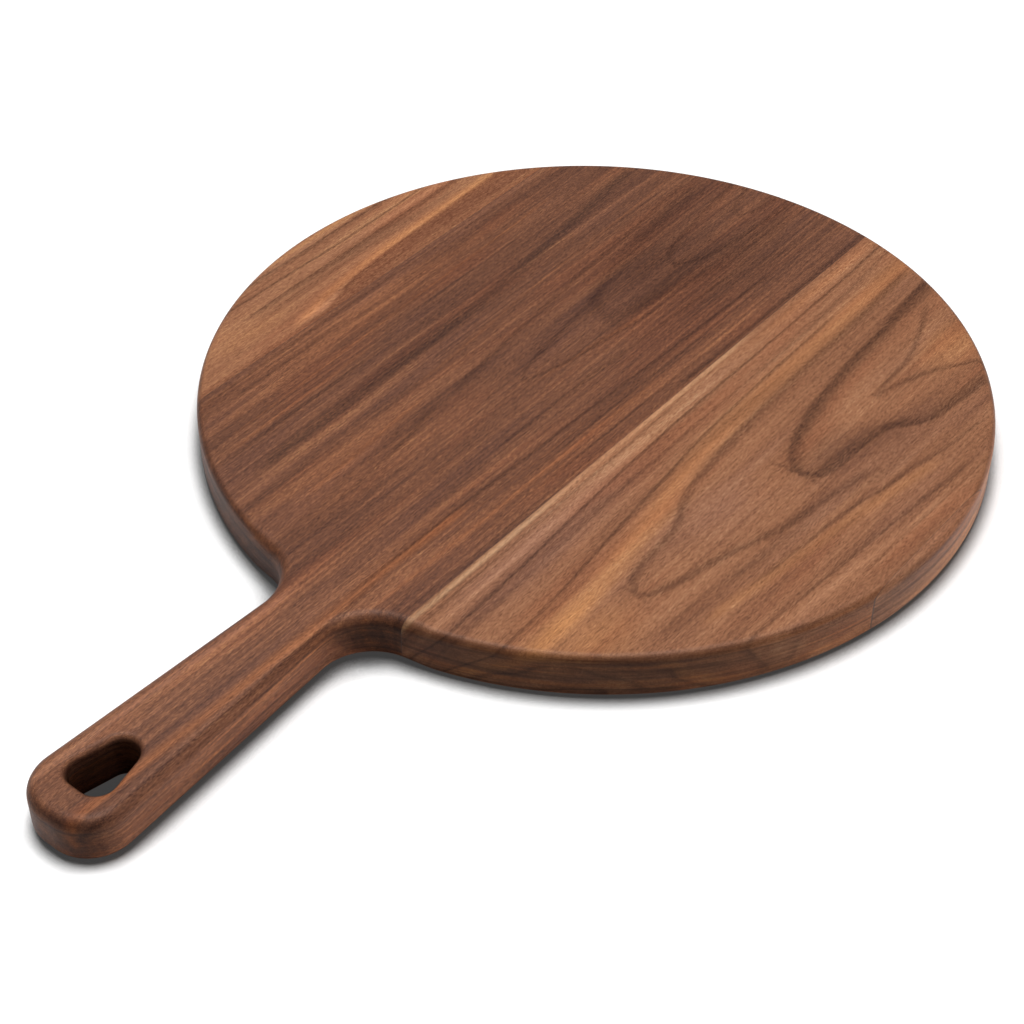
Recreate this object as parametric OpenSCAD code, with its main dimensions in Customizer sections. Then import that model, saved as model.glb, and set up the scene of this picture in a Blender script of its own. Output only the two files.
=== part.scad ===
// Round serving board with a straight paddle handle, edge-glued from walnut staves.
// Millimetres. The origin is the centre of the disc on the underside, +Z is up,
// and the handle points along -Y.

/* [Disc] */
// Diameter of the round board
disc_d = 305; // [220:1:400]
// Thickness of the board and of the handle
board_t = 19; // [14:0.5:30]
// Radius of the round-over along the rim of the disc
rim_round = 3.2; // [1:0.1:4.5]

/* [Handle] */
// Length of the handle from the rim of the disc to its end
handle_l = 128; // [90:1:180]
// Width of the handle where its sides run onto the rim
neck_w = 26.5; // [20:0.5:36]
// Width of the handle at its end
end_w = 39; // [32:0.5:50]
// Radius of the two corners at the end of the handle
end_corner_r = 16.5; // [6:0.5:18]
// Radius of the inside curves between the handle and the disc
neck_curve_r = 20; // [10:0.5:40]
// Radius of the round-over along the edges of the handle
handle_round = 4.8; // [3.5:0.1:6.5]

/* [Hanging hole] */
// Length of the hole along the handle
hole_l = 24.5; // [16:0.5:32]
// Width of the hole at its wide end
hole_w = 18; // [13:0.5:20]
// Radius of the three corners of the hole
hole_corner_r = 6.2; // [4:0.1:6.4]
// Wood left between the hole and the end of the handle
hole_end_gap = 14; // [9:0.5:30]
// Sideways shift of the hole from the centre line of the handle
hole_shift = 0; // [-2:0.1:2]
// Radius of the round-over along the edges of the hole
hole_round = 2.5; // [1:0.1:3]

/* [Staves] */
// Width of the left stave, from the rim to its joint
left_stave_w = 45; // [20:0.5:90]
// Distance of the right joint from the widest side of the handle
joint_margin = 11.5; // [4:0.5:40]
// Width of the thin stave at the right rim
edge_stave_w = 4.5; // [3:0.5:30]
// Thickness of the glue lines
glue_t = 0.15; // [0.1:0.05:0.5]

/* [Hidden] */
$fn = 240;
// Facets round the section of a round-over
round_facets = 64;

// Wood that the rough blank has outside the finished outline
rough = 1;
// How far a cut reaches past the finished faces
over = 2;
// Neighbouring cuts cross by this much instead of only touching
lap = 0.01;

disc_r = disc_d / 2;
end_y = -(disc_r + handle_l);
end_half = end_w / 2;

// Right side of the handle: its flare, outward normal, direction and distance from the origin
flare = atan((end_w - neck_w) / 2 / handle_l);
side_out = [cos(flare), sin(flare)];
side_along = [sin(flare), -cos(flare)];
side_gap = side_out * [neck_w / 2, -disc_r];

// Right neck curve: it meets the rim of the disc and the side of the handle
neck_reach = disc_r + neck_curve_r - lap;
neck_offset = side_gap + neck_curve_r - lap;
neck_run = sqrt(pow(neck_reach, 2) - pow(neck_offset, 2));
neck_centre = neck_offset * side_out + neck_run * side_along;
neck_angle = atan2(neck_centre.x, -neck_centre.y);
neck_on_side = neck_centre - (neck_offset - side_gap) * side_out;

// Right corner at the end of the handle, no larger than the end has room for
end_room = side_gap - side_out.y * end_y;
corner_r = min(end_corner_r, (end_room - lap) / (1 + side_out.y));
corner_y = end_y + corner_r - lap;
corner_x = (side_gap + lap - corner_r - side_out.y * corner_y) / side_out.x;

// Centres of the hole's corners, anticlockwise from the one nearest the disc
hole_half = hole_w / 2 - hole_corner_r;
hole_low_y = end_y + hole_end_gap + hole_corner_r;
hole_high_y = end_y + hole_end_gap + hole_l - hole_corner_r;
hole_corners = [
    [hole_shift, hole_high_y],
    [hole_shift - hole_half, hole_low_y],
    [hole_shift + hole_half, hole_low_y]
];

// Joints, measured across the board from its centre line
left_joint_x = -disc_r + left_stave_w;
right_joint_x = end_half + joint_margin;
edge_joint_x = disc_r - edge_stave_w;

// A shape and its mirror image across the board's centre line
module both_sides() {
    children();
    mirror([1, 0, 0]) children();
}

// Section of the waste outside a rounded edge: the edge is at X = 0 and the wood at -X
module edge_waste(radius, depth) {
    difference() {
        translate([-radius, -over]) square([radius + depth, board_t + 2 * over]);
        translate([-2 * radius, radius]) square([2 * radius, board_t - 2 * radius]);
        for (z = [radius, board_t - radius]) translate([-radius, z])
            circle(radius, $fn = round_facets);
    }
}

// Waste along a straight edge from a point, where facing is the direction the edge faces
module straight_cut(start, facing, length, radius, depth) {
    translate(start) rotate([90, 0, facing]) linear_extrude(length) edge_waste(radius, depth);
}

// Waste outside a convex curve, anticlockwise from a direction
module convex_cut(centre, curve_r, start, sweep, radius, depth) {
    translate(centre) rotate(start) rotate_extrude(angle = sweep)
        translate([curve_r, 0]) edge_waste(radius, depth);
}

// Waste inside a concave curve, as a full spool
module concave_cut(centre, curve_r, radius) {
    translate(centre) rotate_extrude() intersection() {
        translate([curve_r, 0]) mirror([1, 0]) edge_waste(radius, curve_r + over);
        translate([0, -board_t]) square([2 * (curve_r + radius), 3 * board_t]);
    }
}

// Sawn blank, a little larger than the board all round
module rough_blank() {
    linear_extrude(board_t) {
        circle(disc_r + rough);
        translate([-neck_centre.x, neck_on_side.y]) square([2 * neck_centre.x, -neck_on_side.y]);
        translate([-end_half - rough, end_y - rough])
            square([2 * (end_half + rough), rough - end_y]);
    }
}

// Cuts that give the disc, the neck and the handle their outline and round-overs
module outline_cuts() {
    handle_over = end_half + over;
    convex_cut([0, 0], disc_r, neck_angle - 90, 360 - 2 * neck_angle, rim_round, over);
    both_sides() {
        concave_cut(neck_centre, neck_curve_r, handle_round);
        straight_cut(neck_on_side, flare, handle_l, handle_round, handle_over);
        convex_cut([corner_x, corner_y], corner_r, -90, 90 + flare, handle_round, handle_over);
    }
    straight_cut([handle_over, end_y], -90, 2 * handle_over, handle_round, over);
}

// Cut that gives the hanging hole its outline and round-overs
module hole_cut() {
    translate([0, 0, -over]) linear_extrude(board_t + 2 * over) polygon(hole_corners);
    for (i = [0 : 2]) {
        start = hole_corners[i];
        along = hole_corners[(i + 1) % 3] - start;
        out = [along.y, -along.x] / norm(along);
        concave_cut(start, hole_corner_r + lap, hole_round);
        straight_cut(
            start + hole_corner_r * out, atan2(-out.y, -out.x), norm(along), hole_round,
            hole_corner_r + lap
        );
    }
}

// The board as it is after shaping, before it is told apart into its staves
module shaped_board() {
    difference() {
        rough_blank();
        outline_cuts();
        hole_cut();
    }
}

// The part of the board between two distances from its centre line
module strip(from_x, to_x) {
    intersection() {
        shaped_board();
        translate([from_x, end_y - over, -over])
            cube([to_x - from_x, disc_d + handle_l + 2 * over, board_t + 2 * over]);
    }
}

// Film of glue centred on a joint
module glue_line(joint_x) {
    strip(joint_x - glue_t / 2, joint_x + glue_t / 2);
}

module left_stave() {
    color("#8f6744") strip(-disc_r - over, left_joint_x - glue_t / 2);
}

module left_glue_line() {
    color("#b08d5f") glue_line(left_joint_x);
}

// The middle stave carries the handle and its hole
module centre_stave() {
    color("#6d4733") strip(left_joint_x + glue_t / 2, right_joint_x - glue_t / 2);
}

module right_glue_line() {
    color("#b08d5f") glue_line(right_joint_x);
}

module right_stave() {
    color("#8a6243") strip(right_joint_x + glue_t / 2, edge_joint_x - glue_t / 2);
}

module edge_glue_line() {
    color("#b08d5f") glue_line(edge_joint_x);
}

module edge_stave() {
    color("#754a35") strip(edge_joint_x + glue_t / 2, disc_r + over);
}

left_stave();
left_glue_line();
centre_stave();
right_glue_line();
right_stave();
edge_glue_line();
edge_stave();
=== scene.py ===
"""Dresses a round walnut serving board with a paddle handle: its staves, glue lines and a plain studio.

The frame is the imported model's: metres, +Z up, the disc's centre on the underside at the origin and the
handle along -Y. The grain of the wood runs along Y. Grain is described in millimetres, as a woodworker
gives it.
"""

import logging
import math
from dataclasses import dataclass, field
from enum import Enum
from typing import Optional, Union

import bmesh
import bpy
from bmesh.types import BMEdge, BMesh, BMVert
from mathutils import Matrix, Vector


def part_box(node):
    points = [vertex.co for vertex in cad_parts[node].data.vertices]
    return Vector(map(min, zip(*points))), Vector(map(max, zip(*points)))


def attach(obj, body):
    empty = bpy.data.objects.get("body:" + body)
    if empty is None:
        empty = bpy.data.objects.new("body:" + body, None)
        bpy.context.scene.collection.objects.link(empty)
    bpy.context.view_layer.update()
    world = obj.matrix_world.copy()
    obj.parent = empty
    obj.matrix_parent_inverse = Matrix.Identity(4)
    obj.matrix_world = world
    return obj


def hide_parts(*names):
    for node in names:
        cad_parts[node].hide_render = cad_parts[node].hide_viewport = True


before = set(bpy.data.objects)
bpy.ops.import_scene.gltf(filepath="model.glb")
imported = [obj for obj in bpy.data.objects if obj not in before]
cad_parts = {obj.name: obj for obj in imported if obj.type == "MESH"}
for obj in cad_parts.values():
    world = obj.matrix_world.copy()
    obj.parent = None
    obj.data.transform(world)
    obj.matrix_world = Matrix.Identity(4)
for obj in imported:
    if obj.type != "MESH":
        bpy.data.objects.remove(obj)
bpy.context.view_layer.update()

Colour = Place = tuple[float, float, float]
Feeds = dict[Union[int, str], object]
Range = tuple[float, float]
Points = tuple[Range, ...]
Socket = bpy.types.NodeSocket
Value = Union[float, Socket]

LOG = logging.getLogger("serving_board")
BODY = "root"
MM = 0.001
IMAGE_SIDE = 1024
SCREEN_TOE = 0.04045
SCREEN_SLOPE = 12.92
SCREEN_OFFSET = 0.055
SCREEN_POWER = 2.4


def linear(code: str) -> Colour:
    """Turns a hexadecimal screen colour into linear light.

    Args:
        code: Six hexadecimal digits, two each for red, green and blue.

    Returns:
        The colour's linear red, green and blue.
    """
    levels = [int(code[i:i + 2], 16) / 255 for i in (0, 2, 4)]
    return tuple(
        level / SCREEN_SLOPE if level <= SCREEN_TOE
        else ((level + SCREEN_OFFSET) / (1 + SCREEN_OFFSET)) ** SCREEN_POWER
        for level in levels)


class MathStep(Enum):
    """The sums that a finish's nodes work out."""

    ADD = "ADD"
    SUBTRACT = "SUBTRACT"
    MULTIPLY = "MULTIPLY"
    DIVIDE = "DIVIDE"
    MULTIPLY_ADD = "MULTIPLY_ADD"
    ROOT = "SQRT"
    SIZE = "ABSOLUTE"
    LARGER = "MAXIMUM"
    SMALLER = "MINIMUM"


class Blend(Enum):
    """The ways in which one colour is laid over another."""

    COVER = "MIX"
    STAIN = "MULTIPLY"


class NodeGraph:
    """Adds and joins the nodes of one material or world."""

    def __init__(self, owner: Union[bpy.types.Material, bpy.types.World]) -> None:
        """Starts an empty node tree.

        Args:
            owner: The material or world that the nodes belong to.
        """
        owner.use_nodes = True
        self.tree = owner.node_tree
        self.tree.nodes.clear()

    def node(self, kind: str, feeds: Optional[Feeds] = None, **settings: object) -> bpy.types.Node:
        """Adds a node.

        Args:
            kind: The node's type name.
            feeds: What its inputs are fed, by their names or numbers.
            settings: Values for the node's own properties.

        Returns:
            The new node.
        """
        made = self.tree.nodes.new(kind)
        for name, value in settings.items():
            setattr(made, name, value)
        for socket, value in (feeds or {}).items():
            self.feed(made.inputs[socket], value)
        return made

    def feed(self, socket: Socket, value: object) -> None:
        """Joins another node's output to a socket, or sets the socket's own value.

        Args:
            socket: The input to feed.
            value: An output socket, a number, a vector or a colour.
        """
        if isinstance(value, Socket):
            self.tree.links.new(value, socket)
        elif isinstance(value, tuple) and socket.type == "RGBA":
            socket.default_value = (*value, 1.0)
        else:
            socket.default_value = value

    def math(self, step: MathStep, *values: Value) -> Socket:
        """Works out a sum from its numbers, in order."""
        return self.node("ShaderNodeMath", dict(enumerate(values)), operation=step.value).outputs[0]

    def vector(self, x: Value, y: Value, z: Value) -> Socket:
        """Puts three numbers together."""
        return self.node("ShaderNodeCombineXYZ", {0: x, 1: y, 2: z}).outputs[0]

    def split(self, vector: Socket) -> tuple[Socket, ...]:
        """Takes a vector apart into its three numbers."""
        return tuple(self.node("ShaderNodeSeparateXYZ", {0: vector}).outputs)

    def mapped(self, vector: Socket, scale: Place, shift: Place) -> Socket:
        """Scales a vector along its axes, and then shifts it."""
        feeds = {"Vector": vector, "Location": shift, "Scale": scale}
        return self.node("ShaderNodeMapping", feeds, vector_type="POINT").outputs[0]

    def noise(self, vector: Socket, detail: float, roughness: float = 0.5) -> Socket:
        """Reads a noise of mean one half at a place in noise cells, with finer layers of some strength."""
        feeds = {"Vector": vector, "Scale": 1.0, "Detail": detail, "Roughness": roughness}
        return self.node("ShaderNodeTexNoise", feeds, noise_dimensions="3D").outputs[0]

    def swing(self, noise: Socket, reach: float) -> Socket:
        """Turns a noise of mean one half into a shift to both sides, up to a reach."""
        return self.math(MathStep.MULTIPLY_ADD, noise, 2 * reach, -reach)

    def remap(
            self, value: Value, low: float, high: float,
            to_low: float = 0.0, to_high: float = 1.0) -> Socket:
        """Maps a range of a number onto another with soft ends, and holds it there."""
        feeds = {0: value, 1: low, 2: high, 3: to_low, 4: to_high}
        return self.node("ShaderNodeMapRange", feeds, interpolation_type="SMOOTHSTEP").outputs[0]

    def curve(self, value: Value, stops: list[tuple[float, float]]) -> Socket:
        """Reads a smooth curve through some points.

        Args:
            value: Where the curve is read, from 0 to 1.
            stops: The curve's points, rising, each as its place and height from 0 to 1.

        Returns:
            The curve's height there.
        """
        made = self.node("ShaderNodeFloatCurve", {"Value": value})
        points = made.mapping.curves[0].points
        while len(points) < len(stops):
            points.new(1.0, 1.0)
        for point, stop in zip(points, stops):
            point.location = stop
            point.handle_type = "AUTO_CLAMPED"
        made.mapping.update()
        return made.outputs[0]

    def ramp(self, value: Value, stops: list[tuple[float, Colour]]) -> Socket:
        """Colours a number from 0 to 1.

        Args:
            value: The number.
            stops: Places on the ramp, rising, with their colours.

        Returns:
            The colour.
        """
        made = self.node("ShaderNodeValToRGB", {0: value})
        elements = made.color_ramp.elements
        while len(elements) < len(stops):
            elements.new(1.0)
        for element, (place, colour) in zip(elements, stops):
            element.position = place
            element.color = (*colour, 1.0)
        return made.outputs[0]

    def mix(self, factor: Value, first: object, second: object, blend: Blend) -> Socket:
        """Lays one colour over another.

        Args:
            factor: How much of the second colour is laid on.
            first: The colour below.
            second: The colour on top.
            blend: How it is laid on.

        Returns:
            The mixed colour.
        """
        # The node's sockets for numbers and vectors come before those for colours.
        feeds = {0: factor, 6: first, 7: second}
        made = self.node(
            "ShaderNodeMix", feeds, data_type="RGBA", blend_type=blend.value, clamp_factor=False)
        return made.outputs[2]

    def surface(self, shader: bpy.types.Node) -> None:
        """Gives the material its shader."""
        self.node("ShaderNodeOutputMaterial", {"Surface": shader.outputs[0]})


class Tint(Enum):
    """Stains that walnut shows in places, and painted shade and highlights, as factors on red, green and
    blue.
    """

    DARK = (0.55, 0.52, 0.54)
    LATE_WOOD = (0.34, 0.33, 0.37)
    PORE = (0.45, 0.40, 0.38)
    PALE = (1.45, 1.55, 1.60)
    SAPWOOD = (2.10, 2.70, 2.80)
    GOLD = (1.44, 1.44, 1.20)
    ORANGE = (1.45, 1.32, 1.10)
    RED = (1.10, 0.95, 0.90)
    MAUVE = (0.96, 1.00, 1.14)
    GREY = (0.62, 0.66, 0.72)
    BROWN = (0.66, 0.57, 0.57)


# Each stain, with the noise where it starts and where it is full.
Stains = tuple[tuple[Tint, float, float], ...]


@dataclass(frozen=True)
class Texture:
    """A noise in the wood: cells a millimetre across, along and up, finer layers and their strength."""

    cells: Place
    detail: float
    roughness: float = 0.5

    def read(self, graph: NodeGraph, place: Socket, shift: Place) -> Socket:
        """Reads the noise at a place in the wood, with a shift in cells that sets it apart from others."""
        return graph.noise(graph.mapped(place, self.cells, shift), self.detail, self.roughness)


FIBRES = Texture((5.6, 0.6, 5.6), 1.0, 0.6)
PORES = Texture((4.4, 0.5, 4.4), 1.0, 0.6)
BROAD_WANDER = Texture((0.014, 0.009, 0.014), 2.0)
CLOSE_WANDER = Texture((0.11, 0.035, 0.11), 2.0)
STREAKS = Texture((0.14, 0.006, 0.14), 2.0)
FINE_LINES = Texture((0.9, 0.013, 0.9), 2.0, 0.6)
HUE_DRIFT = Texture((0.09, 0.01, 0.09), 2.0)
RAGGED_ENDS = Texture((0.8, 0.03, 0.8), 3.0, 0.6)
SIDE_LAYERS = Texture((0.012, 0.012, 0.5), 3.0, 0.65)


@dataclass(frozen=True)
class Pith:
    """The heart line of the tree, which the growth rings of a stave lie round, in millimetres."""

    across: float
    drift: float
    height: float
    climb: float


@dataclass(frozen=True)
class GrainPatch:
    """A round or long place of other colour: its middle, half its size, its stain and its strength."""

    across: float
    along: float
    half_across: float
    half_along: float
    tint: Tint
    strength: float

    def weight(self, graph: NodeGraph, face: Socket) -> Socket:
        """Measures how much of the stain a point has.

        Args:
            graph: The finish's nodes.
            face: Place across and along the top face.

        Returns:
            The weight, which is 0 at the patch's edge.
        """
        middle, half = (self.across, self.along, 0.0), (self.half_across, self.half_along, 1.0)
        feeds = {"Vector": face, "Location": middle, "Scale": half}
        place = graph.node("ShaderNodeMapping", feeds, vector_type="TEXTURE")
        ball = graph.node("ShaderNodeTexGradient", {0: place.outputs[0]}, gradient_type="SPHERICAL")
        return graph.remap(ball.outputs[1], 0.0, 1.0, 0.0, self.strength)


@dataclass(frozen=True)
class GrainLine:
    """A line along the grain through points given as (along, across), from the handle up, in millimetres.

    It fades out over a distance of its own to the left, to the right and past its two ends. Where it runs
    aslant it is kept as wide, up to a limit.
    """

    points: Points
    depth: float
    fade_left: float = 0.8
    fade_right: float = 0.8
    fade_low: float = 15.0
    fade_high: float = 15.0
    tint: Tint = Tint.LATE_WOOD
    most_stretch: float = 2.2
    curve_margin: float = 1.0

    def weight(self, graph: NodeGraph, across: Value, along: Value) -> Socket:
        """Measures how much of the line's stain a point has.

        Args:
            graph: The finish's nodes.
            across: Place across the top face.
            along: Place along the top face.

        Returns:
            The weight, from 0 to the line's depth.
        """
        low, high = self.points[0][0], self.points[-1][0]
        left = min(place for _, place in self.points)
        width = max(place for _, place in self.points) - left + self.curve_margin
        stops = [((step - low) / (high - low), (place - left) / width) for step, place in self.points]
        share = graph.math(MathStep.MULTIPLY_ADD, along, 1 / (high - low), -low / (high - low))
        here = graph.curve(share, stops)
        # The slope is taken over the next millimetre along the grain.
        ahead = graph.curve(graph.math(MathStep.ADD, share, 1 / (high - low)), stops)
        slope = graph.math(MathStep.MULTIPLY, graph.math(MathStep.SUBTRACT, ahead, here), width)
        stretch = graph.math(MathStep.ROOT, graph.math(MathStep.MULTIPLY_ADD, slope, slope, 1.0))
        gap = graph.math(MathStep.SUBTRACT, across, graph.math(MathStep.MULTIPLY_ADD, here, width, left))
        gap = graph.math(MathStep.DIVIDE, gap, graph.math(MathStep.SMALLER, stretch, self.most_stretch))
        weight = graph.remap(gap, -self.fade_left, 0.0, 0.0, self.depth)
        fades = (
            (gap, self.fade_right, 0.0),
            (along, low - self.fade_low, low),
            (along, high + self.fade_high, high),
        )
        for value, start, end in fades:
            weight = graph.math(MathStep.MULTIPLY, weight, graph.remap(value, start, end))
        return weight


@dataclass(frozen=True)
class GrainArch:
    """A growth ring that crosses the face as an arch: two limbs from a tip, dark inside, sharp outside."""

    left: Points
    right: Points
    depth: float
    fade_in: float = 2.5
    fade_out: float = 1.2
    tint: Tint = Tint.LATE_WOOD

    def weight(self, graph: NodeGraph, across: Value, along: Value) -> Socket:
        """Measures how much of the arch's stain a point has.

        Args:
            graph: The finish's nodes.
            across: Place across the top face.
            along: Place along the top face.

        Returns:
            The weight, from 0 to the arch's depth.
        """
        left = GrainLine(self.left, self.depth, self.fade_out, self.fade_in, fade_low=self.fade_out)
        right = GrainLine(self.right, self.depth, self.fade_in, self.fade_out, fade_low=self.fade_out)
        limbs = (left.weight(graph, across, along), right.weight(graph, across, along))
        return graph.math(MathStep.LARGER, *limbs)


@dataclass(frozen=True)
class WalnutFinish:
    """Oiled walnut of one stave: tones from dark to pale, noises, and the figure of its growth rings."""

    slot: str
    tones: tuple[str, ...]
    pith: Pith
    seed: float
    lines: tuple[Union[GrainLine, GrainArch], ...] = ()
    patches: tuple[GrainPatch, ...] = ()
    face_height: float = 19.0
    band_depth: float = 0.6
    band_width: float = 7.0
    streak_depth: float = 0.6
    line_depth: float = 0.5
    fibre_depth: float = 1.05
    pore_depth: float = 0.7
    wander: float = 0.5
    feather: float = 3.0
    end_grain: Colour = (0.58, 0.5568, 0.5336)
    layer_depth: float = 0.9
    # Painted shade on the round-overs: how deep it is.
    painted_rim_shade: float = 0.3
    roughness: float = 0.45
    gloss: float = 0.12
    band_run: float = 0.0045
    band_detail: float = 3.0
    band_rough: float = 0.55
    hue_depth: float = 0.5
    hue_stains: Stains = ((Tint.RED, 0.5, 0.7), (Tint.MAUVE, 0.5, 0.3))
    layer_stains: Stains = ((Tint.DARK, 0.52, 0.36), (Tint.ORANGE, 0.5, 0.66))
    line_break: tuple[float, float, float, float] = (0.75, 0.25, 0.6, 1.15)
    pore_range: Range = (0.5, 0.72)
    side_range: Range = (0.95, 0.5)
    painted_shade_top: Range = (0.98, 0.75)
    # Where the painted shade on the round-overs fades out, towards the flat top and towards the wall, by
    # the height of the face's normal.
    painted_shade_foot: Range = (0.1, 0.4)
    end_range: Range = (0.1, 0.95)
    fibre_rough: float = 0.08
    pore_rough: float = 0.12
    pore_sink: float = 0.7
    relief: float = 0.25
    relief_height: float = 0.15 * MM

    def material(self) -> bpy.types.Material:
        """Builds the finish.

        Returns:
            The material.
        """
        made = bpy.data.materials.new(self.slot)
        graph = NodeGraph(made)
        coordinates = graph.node("ShaderNodeTexCoord")
        grain = graph.mapped(coordinates.outputs["Object"], (1 / MM,) * 3, (0.0,) * 3)
        straight = self._straighten(graph, grain)
        fibres = FIBRES.read(graph, straight, (self.seed, 0.0, 2.0))
        tone = self._tone(graph, straight, fibres)
        places = [i / (len(self.tones) - 1) for i in range(len(self.tones))]
        colour = graph.ramp(tone, [(p, linear(c)) for p, c in zip(places, self.tones)])
        colour = self._drift_hue(graph, colour, grain)
        colour = self._lay_figure(graph, colour, straight, fibres)
        pores = self._pores(graph, grain)
        weight = graph.math(MathStep.MULTIPLY, pores, self.pore_depth)
        colour = graph.mix(weight, colour, Tint.PORE.value, Blend.STAIN)
        colour = self._lay_sides(graph, colour, grain, coordinates.outputs["Normal"])
        self._shade(graph, colour, fibres, pores)
        return made

    def _straighten(self, graph: NodeGraph, grain: Socket) -> Socket:
        """Undoes the wander of the grain, so that rings and streaks can be drawn straight.

        Args:
            graph: The finish's nodes.
            grain: Place in the wood, in millimetres.

        Returns:
            The place with its wander undone.
        """
        broad = BROAD_WANDER.read(graph, grain, (self.seed, 0.0, 0.0))
        close = CLOSE_WANDER.read(graph, grain, (0.0, self.seed, 0.0))
        shift = graph.math(MathStep.ADD, graph.swing(broad, self.wander), graph.swing(close, self.wander))
        feeds = {0: grain, 1: graph.vector(shift, 0.0, 0.0)}
        return graph.node("ShaderNodeVectorMath", feeds, operation="ADD").outputs[0]

    def _tone(self, graph: NodeGraph, straight: Socket, fibres: Value) -> Socket:
        """Works out how pale the wood is, from 0 to 1.

        Args:
            graph: The finish's nodes.
            straight: Place in the wood, with its wander undone.
            fibres: Noise of single fibres.

        Returns:
            The tone.
        """
        split = graph.split(straight)
        across = graph.math(MathStep.MULTIPLY_ADD, split[1], self.pith.drift, self.pith.across)
        height = graph.math(MathStep.MULTIPLY_ADD, split[1], self.pith.climb, self.pith.height)
        ends = {0: graph.vector(split[0], 0.0, split[2]), 1: graph.vector(across, 0.0, height)}
        from_pith = graph.node("ShaderNodeVectorMath", ends, operation="DISTANCE")
        year = graph.math(MathStep.MULTIPLY, from_pith.outputs["Value"], 1 / self.band_width)
        along = graph.math(MathStep.MULTIPLY, split[1], self.band_run)
        bands = graph.noise(graph.vector(year, along, self.seed), self.band_detail, self.band_rough)
        streaks = STREAKS.read(graph, straight, (1.0, self.seed, 0.0))
        lines = FINE_LINES.read(graph, straight, (0.0, self.seed, 0.0))
        tone = graph.math(MathStep.ADD, graph.swing(bands, self.band_depth / 2), 0.5)
        depths = ((streaks, self.streak_depth), (lines, self.line_depth), (fibres, self.fibre_depth))
        for noise, depth in depths:
            tone = graph.math(MathStep.ADD, tone, graph.swing(noise, depth / 2))
        return tone

    def _drift_hue(self, graph: NodeGraph, colour: object, grain: Socket) -> Socket:
        """Lets the colour drift between reddish and mauve from place to place.

        Args:
            graph: The finish's nodes.
            colour: The wood's colour.
            grain: Place in the wood, in millimetres.

        Returns:
            The colour with its drift.
        """
        drift = HUE_DRIFT.read(graph, grain, (self.seed, 3.0, 0.0))
        for tint, start, end in self.hue_stains:
            weight = graph.remap(drift, start, end, 0.0, self.hue_depth)
            colour = graph.mix(weight, colour, tint.value, Blend.STAIN)
        return colour

    def _lay_figure(self, graph: NodeGraph, colour: object, straight: Value, fibres: Value) -> object:
        """Stains the patches and lines, carried down from the top face along the slope of the rings; a few
        lines on the handle and the edge stave's patch are painted highlights and painted shade.

        Args:
            graph: The finish's nodes.
            colour: The wood's colour.
            straight: Place in the wood, with its wander undone.
            fibres: Noise of single fibres.

        Returns:
            The colour with its figure.
        """
        x, y, z = graph.split(straight)
        climb = self.pith.climb
        run = graph.math(MathStep.MULTIPLY_ADD, z, -1 / climb, self.face_height / climb)
        across = graph.math(MathStep.MULTIPLY_ADD, run, self.pith.drift, x)
        along = graph.math(MathStep.ADD, y, run)
        face = graph.vector(across, along, 0.0)
        for patch in self.patches:
            colour = graph.mix(patch.weight(graph, face), colour, patch.tint.value, Blend.STAIN)
        ragged = RAGGED_ENDS.read(graph, straight, (0.0, 0.0, self.seed))
        along = graph.math(MathStep.ADD, along, graph.swing(ragged, self.feather))
        broken = graph.remap(fibres, *self.line_break)
        for line in self.lines:
            weight = graph.math(MathStep.MULTIPLY, line.weight(graph, across, along), broken)
            colour = graph.mix(weight, colour, line.tint.value, Blend.STAIN)
        return colour

    def _pores(self, graph: NodeGraph, grain: Socket) -> Socket:
        """Finds the open pores, which show as short dashes along the grain, from 0 to 1."""
        dashes = PORES.read(graph, grain, (0.0, self.seed, 5.0))
        return graph.remap(dashes, *self.pore_range)

    def _lay_sides(self, graph: NodeGraph, colour: object, grain: Value, normal: Socket) -> object:
        """Shows the growth rings as layers on the sides, paints shade on the round-overs, and darkens the
        end grain.

        Args:
            graph: The finish's nodes.
            colour: The wood's colour.
            grain: Place in the wood, in millimetres.
            normal: The face's direction.

        Returns:
            The colour with its layers, painted shade on the round-overs and dark end grain.
        """
        _, along, up = graph.split(normal)
        layers = SIDE_LAYERS.read(graph, grain, (self.seed, 1.0, 0.0))
        level = graph.math(MathStep.SIZE, up)
        side = graph.remap(level, *self.side_range, 0.0, self.layer_depth)
        # Painted shade: the round-overs, neither flat top nor wall, are darkened for the way they face the
        # light.
        rim = graph.remap(level, *self.painted_shade_top, 0.0, self.painted_rim_shade)
        rim = graph.math(MathStep.MULTIPLY, rim, graph.remap(level, *self.painted_shade_foot))
        colour = graph.mix(rim, colour, Tint.DARK.value, Blend.STAIN)
        for tint, start, end in self.layer_stains:
            weight = graph.math(MathStep.MULTIPLY, graph.remap(layers, start, end), side)
            colour = graph.mix(weight, colour, tint.value, Blend.STAIN)
        factor = graph.remap(graph.math(MathStep.SIZE, along), *self.end_range)
        return graph.mix(factor, colour, self.end_grain, Blend.STAIN)

    def _shade(self, graph: NodeGraph, colour: object, fibres: Value, pores: Value) -> None:
        """Joins the colour, gloss and surface relief to the shader.

        Args:
            graph: The finish's nodes.
            colour: The wood's colour.
            fibres: Noise of single fibres.
            pores: How much of a pore is there.
        """
        rough = graph.math(MathStep.ADD, graph.swing(fibres, self.fibre_rough), self.roughness)
        rough = graph.math(MathStep.MULTIPLY_ADD, pores, self.pore_rough, rough)
        height = graph.math(MathStep.MULTIPLY_ADD, pores, -self.pore_sink, fibres)
        feeds = {"Strength": self.relief, "Distance": self.relief_height, "Height": height}
        relief = graph.node("ShaderNodeBump", feeds)
        shader = graph.node("ShaderNodeBsdfPrincipled", {
            "Base Color": colour,
            "Roughness": rough,
            "Specular IOR Level": self.gloss,
            "Normal": relief.outputs[0],
        })
        graph.surface(shader)


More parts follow.
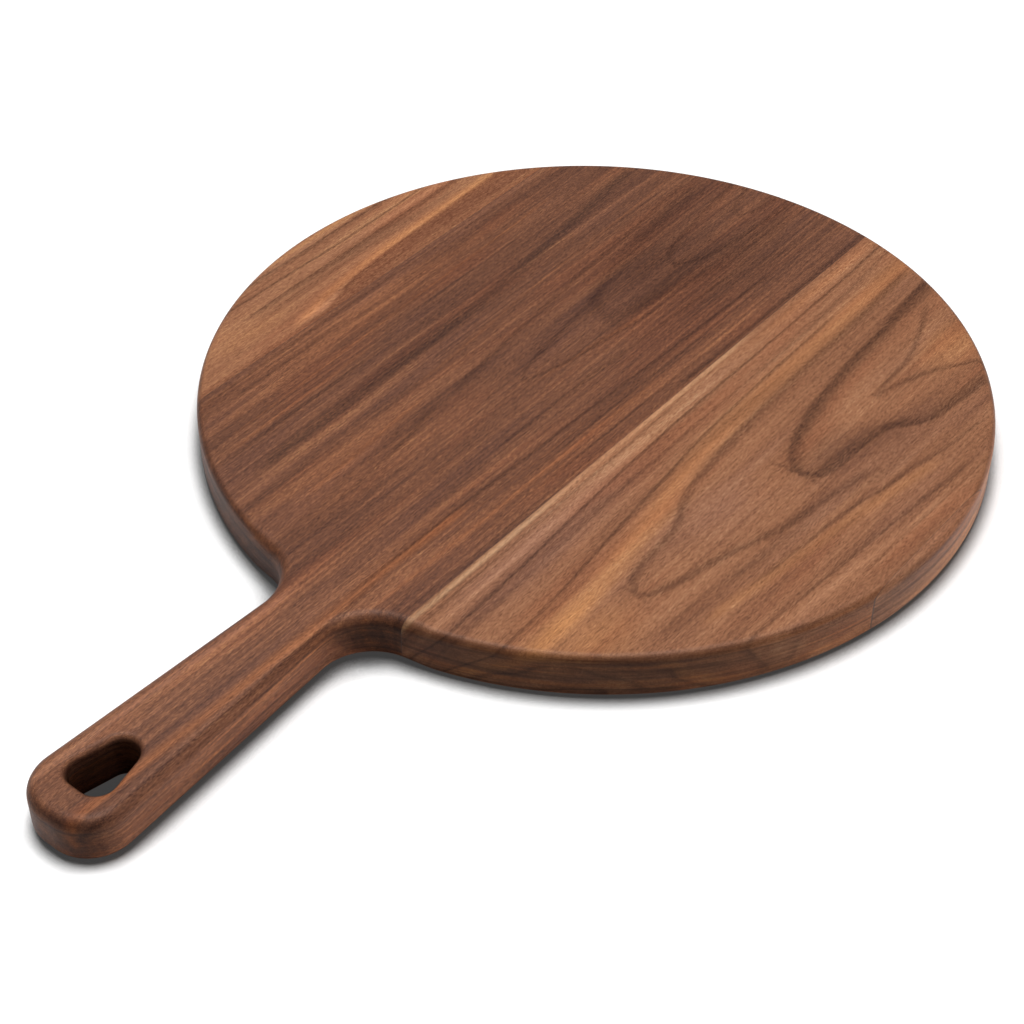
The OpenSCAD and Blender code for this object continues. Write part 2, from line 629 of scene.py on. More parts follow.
@dataclass(frozen=True)
class GlueFinish:
    """Dried wood glue in a joint, stained by the wood on both sides."""

    slot: str = "glue"
    dark: str = "3c271e"
    pale: str = "583b2b"
    tone_range: Range = (0.3, 0.7)
    cells: Place = (900.0, 90.0, 900.0)
    detail: float = 2.0
    roughness: float = 0.5

    def material(self) -> bpy.types.Material:
        """Builds the finish.

        Returns:
            The material.
        """
        made = bpy.data.materials.new(self.slot)
        graph = NodeGraph(made)
        coordinates = graph.node("ShaderNodeTexCoord")
        cells = graph.mapped(coordinates.outputs["Object"], self.cells, (0.0,) * 3)
        squeeze = graph.noise(cells, self.detail)
        stops = list(zip(self.tone_range, (linear(self.dark), linear(self.pale))))
        feeds = {"Base Color": graph.ramp(squeeze, stops), "Roughness": self.roughness}
        graph.surface(graph.node("ShaderNodeBsdfPrincipled", feeds))
        return made


@dataclass(frozen=True)
class Arc:
    """A round stretch of an outline: its centre, radius and run, and the round-over at its two ends."""

    centre: Vector
    radius: float
    start: float
    sweep: float
    round_from: float
    round_to: float
    hollow: bool = False

    def steps(self, longest: float, widest: float) -> int:
        """Counts the straight edges that stand for the arc, for a longest edge and a widest turn."""
        return math.ceil(max(abs(self.sweep) * self.radius / longest, abs(self.sweep) / widest))


@dataclass(frozen=True)
class SectionStep:
    """A corner of a rounded edge's section: inset and height, as shares of the round-over plus lengths."""

    inset_share: float
    inset: float
    height_share: float
    height: float


@dataclass
class BoardShape:
    """The glued-up board after sawing and rounding over, before it is told apart into its staves."""

    disc_d: float = 305 * MM
    board_t: float = 19 * MM
    rim_round: float = 3.2 * MM
    handle_l: float = 128 * MM
    neck_w: float = 26.5 * MM
    end_w: float = 39 * MM
    end_corner_r: float = 16.5 * MM
    neck_curve_r: float = 20 * MM
    handle_round: float = 4.8 * MM
    run_out: float = 14 * MM
    hole_l: float = 24.5 * MM
    hole_w: float = 18 * MM
    hole_corner_r: float = 6.2 * MM
    hole_end_gap: float = 14 * MM
    hole_round: float = 2.5 * MM
    longest_edge: float = 2.6 * MM
    widest_turn: float = math.radians(5)
    round_steps: int = 8
    flat_margin: float = 0.4 * MM
    merge_gap: float = 0.01 * MM
    solid: Optional[BMesh] = field(default=None, repr=False)

    def build(self) -> None:
        """Models the whole board as one closed mesh, from which the staves are cut."""
        solid = bmesh.new()
        self.point = solid.verts.layers.float_vector.new("point")
        self.facing = solid.verts.layers.float_vector.new("facing")
        self.rounding = solid.verts.layers.float.new("rounding")
        low_edges, high_edges = [], []
        for arcs in (self._outer_arcs(), self._hole_arcs()):
            low, high = self._raise_wall(solid, self._outline(solid, arcs))
            low_edges += low
            high_edges += high
        for edges, up in ((low_edges, -1.0), (high_edges, 1.0)):
            bmesh.ops.triangle_fill(solid, use_beauty=True, edges=edges, normal=(0.0, 0.0, up))
        bmesh.ops.recalc_face_normals(solid, faces=solid.faces)
        for face in solid.faces:
            face.smooth = True
        for name in ("point", "facing"):
            solid.verts.layers.float_vector.remove(solid.verts.layers.float_vector[name])
        solid.verts.layers.float.remove(solid.verts.layers.float["rounding"])
        self.solid = solid

    def _outer_arcs(self) -> list[Arc]:
        """Lays out the arcs of the disc, the neck and the handle's end, anticlockwise.

        Returns:
            The arcs; straight edges join those that don't touch.
        """
        disc_r = self.disc_d / 2
        end_y = -disc_r - self.handle_l
        flare = math.atan((self.end_w - self.neck_w) / 2 / self.handle_l)
        out = Vector((math.cos(flare), math.sin(flare), 0.0))
        along = Vector((math.sin(flare), -math.cos(flare), 0.0))
        side_gap = out.dot(Vector((self.neck_w / 2, -disc_r, 0.0)))
        reach = disc_r + self.neck_curve_r
        offset = side_gap + self.neck_curve_r
        neck = offset * out + math.sqrt(reach ** 2 - offset ** 2) * along
        neck_angle = math.atan2(neck.x, -neck.y)
        corner_r = min(self.end_corner_r, (side_gap - out.y * end_y) / (1 + out.y))
        corner_y = end_y + corner_r
        corner = Vector(((side_gap - corner_r - out.y * corner_y) / out.x, corner_y, 0.0))
        origin = Vector((0.0, 0.0, 0.0))
        left = Matrix.Scale(-1.0, 3, (1.0, 0.0, 0.0))
        quarter = math.pi / 2
        run = self.run_out / disc_r
        neck_turn = quarter + flare - neck_angle
        rim_start = neck_angle - quarter
        rim, wide = self.rim_round, self.handle_round
        return [
            Arc(origin, disc_r, rim_start, run, wide, rim),
            Arc(origin, disc_r, rim_start + run, 2 * (math.pi - neck_angle - run), rim, rim),
            Arc(origin, disc_r, 3 * quarter - neck_angle - run, run, rim, wide),
            Arc(left @ neck, self.neck_curve_r, quarter - neck_angle, -neck_turn, wide, wide, hollow=True),
            Arc(left @ corner, corner_r, math.pi - flare, quarter + flare, wide, wide),
            Arc(corner, corner_r, -quarter, quarter + flare, wide, wide),
            Arc(neck, self.neck_curve_r, math.pi + flare, -neck_turn, wide, wide, hollow=True),
        ]

    def _hole_arcs(self) -> list[Arc]:
        """Lays out the three corners of the hanging hole, anticlockwise from the one nearest the disc.

        Returns:
            The arcs.
        """
        end_y = -self.disc_d / 2 - self.handle_l
        low_y = end_y + self.hole_end_gap + self.hole_corner_r
        high_y = end_y + self.hole_end_gap + self.hole_l - self.hole_corner_r
        half = self.hole_w / 2 - self.hole_corner_r
        lean = math.atan2(half, high_y - low_y)
        turns = ((0.0, high_y, lean), (-half, low_y, math.pi - lean), (half, low_y, 1.5 * math.pi))
        sweeps = (math.pi - 2 * lean, math.pi / 2 + lean, math.pi / 2 + lean)
        return [
            Arc(Vector((x, y, 0.0)), self.hole_corner_r, start, sweep,
                self.hole_round, self.hole_round, hollow=True)
            for (x, y, start), sweep in zip(turns, sweeps)
        ]

    def _outline(self, solid: BMesh, arcs: list[Arc]) -> list[BMEdge]:
        """Draws a closed outline by turning a point along each arc and joining the ends.

        Args:
            solid: The mesh to draw in.
            arcs: The outline's arcs, in order.

        Returns:
            The outline's edges.
        """
        chains = [self._turn(solid, arc) for arc in arcs]
        for chain, following in zip(chains, chains[1:] + chains[:1]):
            bmesh.ops.contextual_create(solid, geom=[chain[-1], following[0]])
        verts = [vert for chain in chains for vert in chain]
        bmesh.ops.remove_doubles(solid, verts=verts, dist=self.merge_gap)
        kept = {vert for vert in verts if vert.is_valid}
        return [edge for edge in solid.edges if edge.verts[0] in kept and edge.verts[1] in kept]

    def _turn(self, solid: BMesh, arc: Arc) -> list[BMVert]:
        """Turns a point along an arc, and notes where each point faces and how far its edge is rounded.

        Args:
            solid: The mesh to draw in.
            arc: The arc.

        Returns:
            The points along the arc, in order.
        """
        start = arc.centre + arc.radius * Vector((math.cos(arc.start), math.sin(arc.start), 0.0))
        first = bmesh.ops.create_vert(solid, co=start)["vert"][0]
        count = len(solid.verts) - 1
        steps = arc.steps(self.longest_edge, self.widest_turn)
        bmesh.ops.spin(
            solid, geom=[first], cent=arc.centre, axis=(0.0, 0.0, 1.0), angle=arc.sweep, steps=steps)
        solid.verts.ensure_lookup_table()
        chain = solid.verts[count:]
        for step, vert in enumerate(chain):
            share = step / steps
            ease = share * share * (3 - 2 * share)
            outward = (vert.co - arc.centre).normalized()
            vert[self.point] = vert.co
            vert[self.facing] = -outward if arc.hollow else outward
            vert[self.rounding] = arc.round_from + (arc.round_to - arc.round_from) * ease
        return chain

    def _section(self) -> list[SectionStep]:
        """Lists the corners of a rounded edge's section, from the underside up to the top.

        Returns:
            The corners.
        """
        turns = [math.pi / 2 * i / self.round_steps for i in range(self.round_steps + 1)]
        lower = [SectionStep(1 - math.sin(a), 0.0, 1 - math.cos(a), 0.0) for a in turns]
        upper = [SectionStep(s.inset_share, 0.0, -s.height_share, self.board_t) for s in reversed(lower)]
        first = SectionStep(1.0, self.flat_margin, 0.0, 0.0)
        last = SectionStep(1.0, self.flat_margin, 0.0, self.board_t)
        return [first, *lower, *upper, last]

    def _raise_wall(self, solid: BMesh, edges: list[BMEdge]) -> tuple[list[BMEdge], list[BMEdge]]:
        """Extrudes an outline up through the section of its rounded edges.

        Args:
            solid: The mesh to build in.
            edges: The outline's edges.

        Returns:
            The edges of the wall's lower and upper rims.
        """
        section = self._section()
        self._place({vert for edge in edges for vert in edge.verts}, section[0])
        ring = edges
        for step in section[1:]:
            grown = bmesh.ops.extrude_edge_only(solid, edges=ring)["geom"]
            fresh = {item for item in grown if isinstance(item, BMVert)}
            ring = [item for item in grown if isinstance(item, BMEdge) and set(item.verts) <= fresh]
            self._place(fresh, step)
        return edges, ring

    def _place(self, verts: set[BMVert], step: SectionStep) -> None:
        """Moves a ring of points to a corner of the section.

        Args:
            verts: The ring.
            step: The corner.
        """
        for vert in verts:
            rounding = vert[self.rounding]
            vert.co = vert[self.point] - (step.inset_share * rounding + step.inset) * vert[self.facing]
            vert.co.z = step.height_share * rounding + step.height

    def strip(self, low_x: Optional[float], high_x: Optional[float]) -> BMesh:
        """Copies the part of the board between two joints, and closes it where it was cut.

        Args:
            low_x: Place of the joint on the left, or none at the rim.
            high_x: Place of the joint on the right, or none at the rim.

        Returns:
            The strip as a closed mesh.
        """
        piece = self.solid.copy()
        for joint, side in ((low_x, -1.0), (high_x, 1.0)):
            if joint is None:
                continue
            geometry = piece.verts[:] + piece.edges[:] + piece.faces[:]
            cut = bmesh.ops.bisect_plane(
                piece, geom=geometry, plane_co=(joint, 0.0, 0.0), plane_no=(side, 0.0, 0.0),
                clear_outer=True)
            rim = [item for item in cut["geom_cut"] if isinstance(item, BMEdge)]
            bmesh.ops.edgeloop_fill(piece, edges=rim)
            for edge in rim:
                edge.smooth = False
        bmesh.ops.recalc_face_normals(piece, faces=piece.faces)
        return piece


@dataclass
class BoardPiece:
    """One piece of the board, cut from the shaped board and dressed in its finish."""

    node: str
    finish: Union[WalnutFinish, GlueFinish]
    low_x: Optional[float] = None
    high_x: Optional[float] = None

    def build(self, shape: BoardShape, material: bpy.types.Material) -> bpy.types.Object:
        """Cuts the piece from the board, dresses it and sets it in the frame.

        Args:
            shape: The shaped board.
            material: The piece's finish.

        Returns:
            The piece.
        """
        strip = shape.strip(self.low_x, self.high_x)
        mesh = bpy.data.meshes.new(f"{self.node}_dressed")
        strip.to_mesh(mesh)
        strip.free()
        mesh.materials.append(material)
        piece = bpy.data.objects.new(mesh.name, mesh)
        bpy.context.scene.collection.objects.link(piece)
        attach(piece, BODY)
        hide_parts(self.node)
        return piece


LEFT_WALNUT = WalnutFinish(
    slot="left_walnut",
    tones=("714735", "8b5b41", "a57153", "c08a61", "dfae84"),
    pith=Pith(across=-95.0, drift=0.0, height=3.0, climb=0.15),
    seed=3.1,
    lines=(
        GrainLine(((-20, -148.3), (10, -148.8), (45, -148)), 0.5, 1.5, 2.5, tint=Tint.GOLD),
        GrainLine(((-10, -134), (30, -134.2), (70, -134)), 0.55, 2.5, 2.5, tint=Tint.PALE),
        GrainLine(((-40, -113), (-20, -116.5), (5, -119), (30, -120.5), (80, -122)), 0.75, 4.0, 3.0,
                  tint=Tint.GOLD),
        GrainLine(
            ((-44, -109.5), (-36, -109), (-28, -110), (-20, -112.5), (-10, -115), (0, -116.2), (20, -117.8),
             (45, -119.2), (90, -120.5)),
            0.3, fade_left=1.2, fade_right=4.0, fade_low=6.0),
        GrainLine(
            ((-28, -110), (-20, -112.5), (-10, -115), (0, -116.2), (20, -117.8), (45, -119.2), (112, -121)),
            0.95, fade_left=1.6, fade_right=45.0, fade_low=12.0, tint=Tint.BROWN),
        GrainLine(((-108, -108), (-36, -108)), 0.6, 3.5, 3.0, fade_high=5.0, tint=Tint.BROWN),
        GrainLine(((-48, -130.2), (-10, -130.6), (30, -131), (75, -131.3)), 0.65, 0.8, 4.0),
        GrainLine(((-60, -138.5), (-20, -137.7), (10, -137.2), (60, -138)), 0.75, 1.4, 0.9),
        GrainLine(((-38, -145.3), (0, -144.8), (45, -145)), 0.7, 0.8, 3.0),
        GrainLine(((-45, -125.5), (0, -125.5), (60, -126.5)), 0.3, 1.5, 1.5),
    ),
    patches=(
        GrainPatch(-112.5, -36, 5, 20, Tint.PALE, 0.8),
        GrainPatch(-122, -62, 9, 34, Tint.GOLD, 0.3),
        GrainPatch(-128, 10, 3, 60, Tint.GREY, 0.35),
    ),
)

CENTRE_WALNUT = WalnutFinish(
    slot="centre_walnut",
    tones=("462e29", "5f3f33", "774f3c", "976449", "b8865c"),
    pith=Pith(across=-19.8, drift=0.0, height=-3.0, climb=0.06),
    seed=7.7,
    line_depth=0.75,
    lines=(
        GrainArch(
            ((127, -20.5), (128, -22.5), (132, -25), (145, -29)),
            ((127, -20.5), (129, -18.5), (134, -16), (145, -14)), 0.35, 3.0, 1.4),
        GrainArch(
            ((80, -20.5), (82, -23.5), (87, -27), (95, -29), (110, -31.5), (140, -35)),
            ((80, -20.5), (83, -17), (88, -14), (100, -11), (115, -9), (140, -7.5)), 0.45, 3.5, 1.3),
        GrainArch(
            ((33, -20.5), (36, -25.5), (41, -31), (52, -35.5), (65, -38), (90, -42), (130, -48)),
            ((33, -20.5), (37, -16.8), (46, -13.5), (60, -11), (85, -6), (130, -3)), 0.36, 8.0, 4.5),
        GrainArch(
            ((-19, -19.5), (-17, -21.8), (-10, -24), (5, -26.8), (20, -28.8), (40, -31)),
            ((-19, -19.5), (-16, -17.5), (-6, -15), (8, -12), (22, -10), (45, -7.5)), 0.5, 2.2, 1.3),
        GrainLine(((-110, -62), (-60, -63), (-20, -64), (20, -66), (50, -68.5), (80, -71.5), (120, -76)),
                  1.0, 4.0, 5.0, tint=Tint.GREY),
        GrainLine(((-30, -38), (10, -42), (40, -44.5), (75, -47), (130, -52)), 0.4, 1.6, 2.2),
        GrainLine(((-140, 8), (-80, 8.8), (-40, 10), (0, 11.5), (40, 13), (90, 14.5)), 0.6, 1.0, 1.5),
        GrainLine(((-50, -1.5), (0, -1), (30, 0), (80, 2)), 0.45, 1.2, 1.8),
        GrainLine(((-60, 24), (30, 25)), 0.4, 0.8, 1.0),
        GrainLine(((-110, 16), (40, 17.5)), 0.3, 0.7, 1.0),
        GrainLine(((25, 29), (90, 29.8), (146, 30)), 0.5, 2.4, 1.5),
        GrainLine(((-140, 28.7), (25, 29)), 0.35, 1.2, 1.5),
        GrainLine(((-100, -104), (-10, -104.8), (60, -104)), 0.55, 1.0, 1.4),
        GrainLine(((-90, -97.5), (-50, -98.5)), 0.45, 1.2, 1.2),
        GrainLine(((-110, -28.5), (-80, -30.5), (-60, -34.5)), 0.45, 1.4, 2.0),
        GrainLine(((-115, -74), (-40, -75.5)), 0.3, 1.6, 1.6),
        GrainLine(((-105, -83.2), (-80, -84.2), (-40, -86), (0, -87.5), (40, -88.7), (80, -90)),
                  0.75, 0.9, 1.3, tint=Tint.ORANGE),
        GrainLine(((-40, -50), (-20, -51.2), (20, -54), (60, -56.2), (100, -57.6), (135, -60)),
                  0.55, 0.9, 1.2, tint=Tint.ORANGE),
        GrainLine(((-110, -77.3), (-50, -79.2)), 0.6, 1.0, 1.4, tint=Tint.ORANGE),
        GrainLine(((-110, -39), (-60, -42)), 0.55, 1.6, 1.8, tint=Tint.ORANGE),
        GrainLine(((-140, 19), (30, 20.5)), 0.5, 1.4, 1.4, tint=Tint.ORANGE),
        GrainLine(((-100, 13.8), (40, 15)), 0.4, 1.0, 1.0, tint=Tint.ORANGE),
        GrainLine(((-8, -13.8), (15, -11.8), (35, -9.8)), 0.6, 1.8, 0.9, tint=Tint.ORANGE),
        # Painted highlight: an orange streak along the right edge of the handle's flat.
        GrainLine(((-280, 10), (-243, 10), (-222, 10.4), (-183, 9.8), (-150, 9.8), (-100, 10.5)),
                  1.6, 3.6, 2.8, tint=Tint.ORANGE),
        # Painted shade: a dark line on the handle's right round-over.
        GrainLine(((-280, 17), (-220, 14.4), (-180, 12.8), (-150, 11.8)), 1.0, 1.8, 2.4, tint=Tint.DARK),
        # Painted highlight: a pale line along the left edge of the handle's flat.
        GrainLine(((-280, -13), (-220, -10.8), (-170, -8.8)), 1.0, 2.6, 2.2, tint=Tint.PALE),
    ),
    patches=(
        GrainPatch(-20, 70, 28, 62, Tint.DARK, 0.6),
        GrainPatch(4, 95, 16, 65, Tint.DARK, 0.45),
        GrainPatch(-45, 90, 18, 60, Tint.DARK, 0.3),
        GrainPatch(21, -20, 12, 160, Tint.ORANGE, 0.4),
        GrainPatch(-38, -95, 22, 60, Tint.ORANGE, 0.35),
        GrainPatch(-96, -20, 16, 140, Tint.ORANGE, 0.45),
        GrainPatch(0, -215, 40, 110, Tint.PALE, 0.5),
        GrainPatch(0, -120, 60, 80, Tint.ORANGE, 0.2),
    ),
)

RIGHT_WALNUT = WalnutFinish(
    slot="right_walnut",
    tones=("603f31", "7e543e", "9a684b", "b37e5c", "d1a47c"),
    pith=Pith(across=87.5, drift=0.053, height=-7.6, climb=0.1186),
    seed=12.4,
    # A deeper painted shade on this stave's round-overs.
    painted_rim_shade=0.55,
    lines=(
        GrainLine(
            ((-135, 75), (-100, 72.5), (-70, 68.5), (-50, 65.5), (-35, 62), (-10, 58.3), (20, 56.5),
             (60, 55.5), (145, 53.5)), 0.8, 7.0, 7.0, tint=Tint.GOLD),
        GrainLine(((-75, 111.5), (-42, 116.5), (0, 122), (30, 127.5)), 0.6, 4.0, 4.0, tint=Tint.GOLD),
        GrainLine(((-60, 133), (-20, 136.5), (15, 139.5)), 0.45, 2.5, 3.5, tint=Tint.PALE),
        GrainLine(((-56, 105), (-20, 110), (27, 117.5)), 0.35, 3.0, 4.0, tint=Tint.GREY),
        GrainArch(
            ((0.5, 93), (2, 90), (4, 87), (8, 84.3), (14, 81.8), (22, 79), (35, 76), (50, 74), (70, 72),
             (90, 71), (110, 69), (130, 67)),
            ((0.5, 93), (2, 97), (4, 99.5), (8, 101), (14, 101.7), (22, 102), (30, 102.3), (42, 104.3),
             (50, 109), (58, 114), (70, 116), (90, 118.5)), 0.85, 6.5, 2.2),
        GrainArch(
            ((57, 91), (63, 90), (72, 89), (85, 88), (100, 84), (112, 79)),
            ((57, 91), (64, 92.8), (72, 95), (80, 98), (90, 103), (101, 110)), 0.6, 2.6, 1.6),
        GrainArch(
            ((-88, 84), (-86.5, 81.5), (-84, 79.2), (-78, 77.4), (-70, 76.6), (-60, 76), (-50, 74),
             (-42, 70), (-33, 67), (-20, 65), (0, 63), (20, 61.5), (60, 60), (100, 59), (125, 57.5)),
            ((-88, 84), (-86.5, 87), (-84, 89), (-76, 92), (-62, 95), (-50, 98), (-38, 102), (-22, 106),
             (-8, 108), (10, 111)), 0.65, 3.6, 2.4),
        GrainLine(((-137, 65), (-110, 64), (-90, 62), (-70, 60), (-50, 58), (-30, 56), (-10, 54), (30, 52),
                   (80, 51)), 0.7, 1.0, 1.6),
        GrainLine(((-146, 46.7), (-110, 45.5), (-80, 44), (-40, 42), (-20, 41.5), (20, 40.7), (80, 40.5),
                   (146, 39.5)), 0.75, 0.9, 1.3),
        GrainLine(((-148, 37), (-100, 35.6), (-50, 35.2), (0, 34.5)), 0.45, 0.8, 1.4),
        GrainLine(((-140, 51), (-80, 49), (-20, 47.5), (60, 48), (100, 46.5), (140, 44.5)), 0.4, 1.2, 1.6),
        GrainLine(((-48, 114), (-25, 116), (-5, 118), (10, 121), (30, 124), (45, 127), (62, 129)),
                  0.55, 2.2, 0.9),
        GrainLine(((-78, 127), (-45, 130), (-20, 132), (10, 135), (38, 137.5)), 0.55, 2.0, 0.9),
        GrainLine(((-20, 139.5), (20, 141), (48, 142)), 0.45, 1.6, 0.9),
        GrainLine(((-90, 102), (-70, 103.5), (-50, 107)), 0.3, 1.6, 1.0),
        GrainLine(((-148, 32.6), (-60, 32.2), (40, 31.6)), 0.6, 2.0, 2.0, fade_high=30.0,
                  tint=Tint.SAPWOOD),
        GrainLine(((-148, 33.2), (-80, 32.6)), 0.2, 2.2, 2.2, fade_high=50.0, tint=Tint.SAPWOOD),
        GrainLine(((-146, 41), (-109, 41), (-74, 40), (-38, 39)), 0.6, 2.4, 1.8, fade_high=40.0,
                  tint=Tint.PALE),
    ),
    patches=(
        GrainPatch(35.5, 100, 3.5, 70, Tint.ORANGE, 0.4),
        GrainPatch(82, -118, 26, 34, Tint.GOLD, 0.75),
        GrainPatch(97, 106, 16, 32, Tint.GOLD, 0.65),
        GrainPatch(94, 17, 13, 26, Tint.GREY, 0.4),
        GrainPatch(112, 38, 9, 30, Tint.DARK, 0.3),
        GrainPatch(44, -85, 17, 85, Tint.MAUVE, 1.0),
        GrainPatch(86, -35, 14, 34, Tint.MAUVE, 0.5),
    ),
)

EDGE_WALNUT = WalnutFinish(
    slot="edge_walnut",
    tones=("5e4336", "7d5946", "9a6d53", "be8865", "deae84"),
    pith=Pith(across=190.0, drift=0.0, height=-20.0, climb=0.03),
    seed=18.9,
    # Painted shade: a dark patch over the whole edge stave, whose round-over and wall lie in shade.
    patches=(GrainPatch(150, 60, 50, 260, Tint.DARK, 0.45),),
)


@dataclass
class ServingBoard:
    """The whole board: four staves of walnut and the glue lines between them."""

    shape: BoardShape = field(default_factory=BoardShape)
    glue: GlueFinish = field(default_factory=GlueFinish)

    def pieces(self) -> list[BoardPiece]:
        """Lists the pieces from left to right, with their joints where the frame has them.

        Returns:
            The pieces.
        """
        films = [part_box(name) for name in ("left_glue_line", "right_glue_line", "edge_glue_line")]
        left, right, edge = [(low.x, high.x) for low, high in films]
        return [
            BoardPiece("left_stave", LEFT_WALNUT, high_x=left[0]),
            BoardPiece("left_glue_line", self.glue, *left),
            BoardPiece("centre_stave", CENTRE_WALNUT, left[1], right[0]),
            BoardPiece("right_glue_line", self.glue, *right),
            BoardPiece("right_stave", RIGHT_WALNUT, right[1], edge[0]),
            BoardPiece("edge_glue_line", self.glue, *edge),
            BoardPiece("edge_stave", EDGE_WALNUT, low_x=edge[1]),
        ]

    def build(self) -> None:
        """Shapes the board, cuts it into its pieces and dresses them."""
        self.shape.build()
        materials: dict[str, bpy.types.Material] = {}
        for piece in self.pieces():
            slot = piece.finish.slot
            if slot not in materials:
                materials[slot] = piece.finish.material()
            made = piece.build(self.shape, materials[slot])
            LOG.info("%s: %d faces", made.name, len(made.data.polygons))
        self.shape.solid.free()


@dataclass(frozen=True)
class Lamp:
    """A soft lamp far away: where it stands, its width, its light and whether the gloss shows it."""

    name: str
    azimuth: float
    elevation: float
    width: float
    strength: float
    glints: bool = True

    def build(self) -> None:
        """Hangs the lamp."""
        data = bpy.data.lights.new(self.name, "SUN")
        data.angle = math.radians(self.width)
        data.energy = self.strength * math.pi
        lamp = bpy.data.objects.new(self.name, data)
        level, lift = math.radians(self.azimuth), math.radians(self.elevation)
        flat = math.cos(lift)
        towards = Vector((math.cos(level) * flat, math.sin(level) * flat, math.sin(lift)))
        lamp.rotation_mode = "QUATERNION"
        lamp.rotation_quaternion = towards.to_track_quat("Z", "Y")
        lamp.visible_glossy = self.glints
        bpy.context.scene.collection.objects.link(lamp)


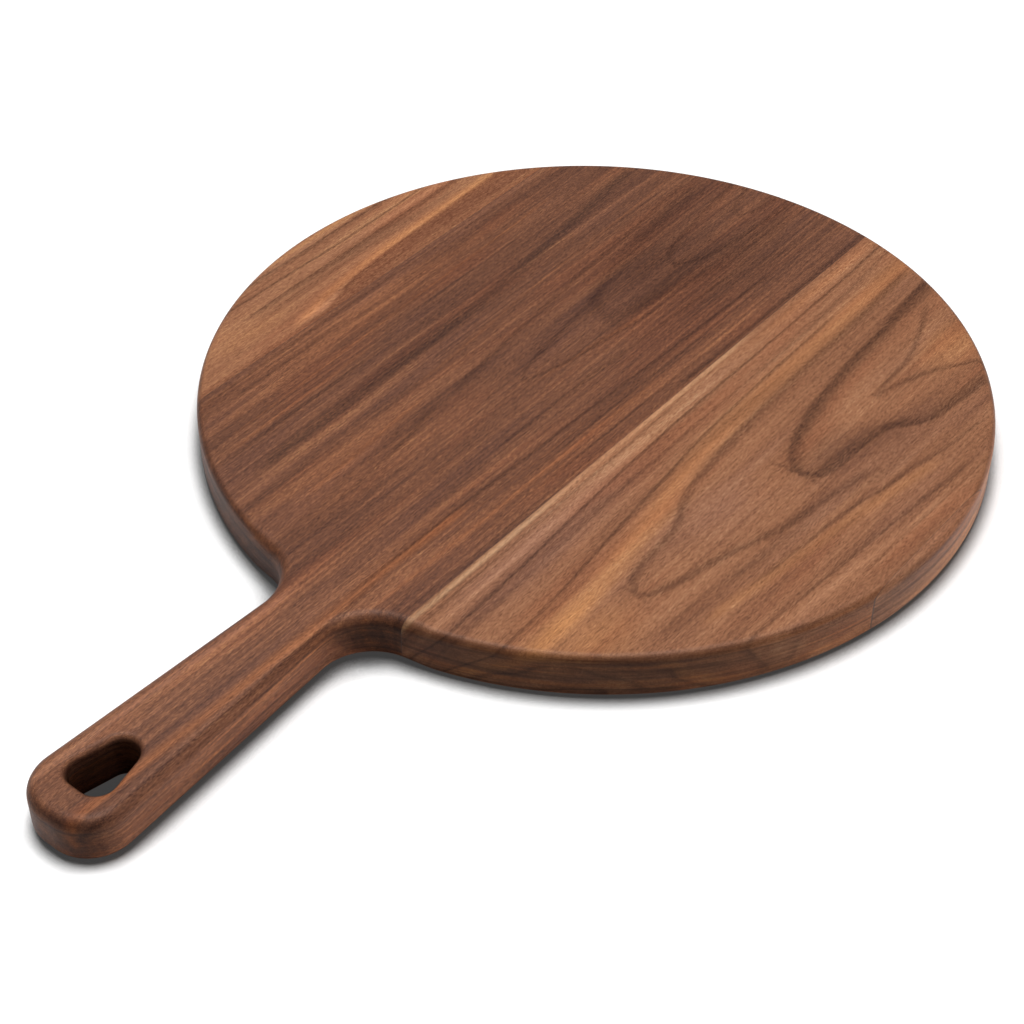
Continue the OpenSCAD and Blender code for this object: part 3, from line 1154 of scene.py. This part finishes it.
@dataclass
class Studio:
    """The pale floor, the soft lamps and the camera."""

    floor_half: float = 6.0
    floor_drop: float = 0.3 * MM
    floor_seen: float = 1.15
    floor_bounce: float = 0.25
    sky: float = 0.05
    contact_reach: float = 0.02
    contact_shade: float = 0.05
    contact_range: Range = (0.45, 0.76)
    contact_samples: int = 8
    shadow_lift: float = 0.045
    card_half: float = 0.015
    card_place: Place = (0.0, -0.254, 0.001)
    view_azimuth: float = math.radians(38.66)
    view_elevation: float = math.radians(41.49)
    view_roll: float = 0.003
    view_distance: float = 0.77
    view_target: Place = (0.01145, -0.0651, 0.0)
    focal_pixels: float = 2080.1
    sensor: float = 36.0
    lamps: tuple[Lamp, ...] = (
        Lamp("key_lamp", azimuth=125.0, elevation=85.0, width=28.0, strength=0.97),
        Lamp("right_lamp", azimuth=46.0, elevation=-25.0, width=30.0, strength=1.0, glints=False),
        Lamp("left_lamp", azimuth=238.0, elevation=-14.0, width=40.0, strength=0.2, glints=False),
    )

    def build(self) -> None:
        """Sets up the floor, the light and the camera."""
        self._build_floor()
        self._build_shade_card()
        self._build_sky()
        for lamp in self.lamps:
            lamp.build()
        self._build_camera()
        bpy.context.scene.view_settings.view_transform = "Standard"

    def _lay_sheet(self, name: str, half: float, place: Place) -> bpy.types.Object:
        """Lays a flat square sheet.

        Args:
            name: The sheet's name.
            half: Half its side.
            place: Where its middle lies.

        Returns:
            The sheet.
        """
        sheet = bmesh.new()
        middle = Matrix.Translation(place)
        bmesh.ops.create_grid(sheet, x_segments=1, y_segments=1, size=half, matrix=middle)
        mesh = bpy.data.meshes.new(name)
        sheet.to_mesh(mesh)
        sheet.free()
        made = bpy.data.objects.new(name, mesh)
        bpy.context.scene.collection.objects.link(made)
        return made

    def _floor_paint(self) -> bpy.types.Material:
        """Mixes a paint that looks white from above, has a painted shadow close to the board and is clear
        from below.

        Returns:
            The paint.
        """
        paint = bpy.data.materials.new("floor_paint")
        graph = NodeGraph(paint)
        path = graph.node("ShaderNodeLightPath")
        seen = graph.math(MathStep.LARGER, path.outputs["Is Camera Ray"], path.outputs["Is Glossy Ray"])
        seen = graph.math(MathStep.LARGER, seen, path.outputs["Is Transmission Ray"])
        # Painted shadow: the paint darkens by how little sky is open above it, so it is dark at the board's
        # foot and in the hanging hole.
        open_sky = graph.node(
            "ShaderNodeAmbientOcclusion", {"Distance": self.contact_reach}, samples=self.contact_samples)
        shade = graph.remap(open_sky.outputs["AO"], *self.contact_range, self.contact_shade, 1.0)
        shown = graph.mix(1.0, (self.floor_seen,) * 3, shade, Blend.STAIN)
        colour = graph.mix(seen, (self.floor_bounce,) * 3, shown, Blend.COVER)
        matt = graph.node("ShaderNodeBsdfDiffuse", {"Color": colour})
        lifted = graph.remap(path.outputs["Is Camera Ray"], 0.0, 1.0, 0.0, self.shadow_lift)
        lift = graph.node("ShaderNodeEmission", {"Strength": lifted})
        above = graph.node("ShaderNodeAddShader", {0: matt.outputs[0], 1: lift.outputs[0]})
        below = graph.node("ShaderNodeBsdfTransparent")
        from_below = graph.node("ShaderNodeNewGeometry").outputs["Backfacing"]
        feeds = {0: from_below, 1: above.outputs[0], 2: below.outputs[0]}
        graph.surface(graph.node("ShaderNodeMixShader", feeds))
        return paint

    def _build_floor(self) -> None:
        """Lays the floor, which casts no shadow, so that the low lamps shine through it."""
        floor = self._lay_sheet("floor", self.floor_half, (0.0, 0.0, -self.floor_drop))
        floor.data.materials.append(self._floor_paint())
        floor.visible_shadow = False

    def _build_shade_card(self) -> None:
        """Sets an unseen card across the foot of the hanging hole, which keeps the low lamps out of it."""
        card = self._lay_sheet("shade_card", self.card_half, self.card_place)
        card.visible_camera = False
        card.visible_diffuse = False
        card.visible_glossy = False
        card.visible_transmission = False

    def _build_sky(self) -> None:
        """Gives an even light from all round, and a white sky to the eye."""
        sky = bpy.data.worlds.new("studio_sky")
        bpy.context.scene.world = sky
        graph = NodeGraph(sky)
        path = graph.node("ShaderNodeLightPath")
        strength = graph.remap(path.outputs["Is Camera Ray"], 0.0, 1.0, self.sky, 1.0)
        light = graph.node("ShaderNodeBackground", {"Color": (1.0, 1.0, 1.0), "Strength": strength})
        graph.node("ShaderNodeOutputWorld", {"Surface": light.outputs[0]})

    def _build_camera(self) -> None:
        """Sets the camera at the photograph's viewing angle."""
        level, lift = self.view_azimuth, self.view_elevation
        flat = math.cos(lift)
        back = Vector((math.sin(level) * flat, -math.cos(level) * flat, math.sin(lift)))
        right = Vector((math.cos(level), math.sin(level), 0.0))
        turn = Matrix((right, back.cross(right), back)).transposed()
        turn = turn @ Matrix.Rotation(self.view_roll, 3, "Z")
        data = bpy.data.cameras.new("camera")
        data.sensor_width = self.sensor
        data.lens = self.focal_pixels * self.sensor / IMAGE_SIDE
        camera = bpy.data.objects.new("camera", data)
        place = Vector(self.view_target) + self.view_distance * back
        camera.matrix_world = Matrix.Translation(place) @ turn.to_4x4()
        bpy.context.scene.collection.objects.link(camera)
        bpy.context.scene.camera = camera


def main() -> None:
    """Builds the board and the studio in order."""
    logging.basicConfig(level=logging.INFO, format="%(name)s: %(message)s")
    ServingBoard().build()
    Studio().build()


if __name__ == "__main__":
    main()
